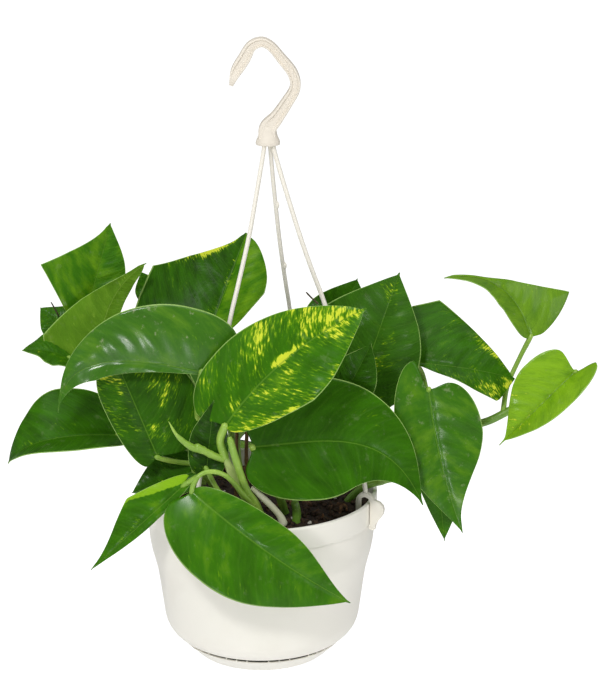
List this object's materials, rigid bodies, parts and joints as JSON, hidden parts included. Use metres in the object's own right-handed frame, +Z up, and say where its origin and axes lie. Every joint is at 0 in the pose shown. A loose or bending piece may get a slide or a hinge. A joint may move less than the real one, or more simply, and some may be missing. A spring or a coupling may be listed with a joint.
{
  "type": "potted hanging plant",
  "caption": "Trailing pothos plant with glossy variegated heart-shaped leaves in a white plastic hanging pot with saucer and hooked strand hanger.",
  "frame": {"origin": "hang point: the inner top of the hook's crook, where the basket hangs", "axes": "+Z up through the hanger, +X to the right and -Y towards the viewer of the leafiest side"},
  "size_m": [0.3833, 0.2313, 0.4176],
  "materials": {
    "pot_plastic": "satin",
    "hanger_plastic": "satin",
    "soil": "rough",
    "foliage": "glossy, with lime and cream variegation"
  },
  "bodies": {
    "root": {"pot": "pot_plastic", "saucer": "pot_plastic", "soil": "soil", "hanger_hook": "hanger_plastic", "hanger_strand_left": "hanger_plastic", "hanger_strand_back": "hanger_plastic", "hanger_strand_right": "hanger_plastic", "vine_front": "foliage", "vine_centre": "foliage", "vine_right": "foliage", "vine_far_right": "foliage", "vine_upper_right": "foliage", "vine_left": "foliage", "vine_left_low": "foliage", "vine_upper_left": "foliage", "vine_upper_centre": "foliage", "vine_back_left": "foliage", "vine_back_right": "foliage"}
  },
  "joints": []
}
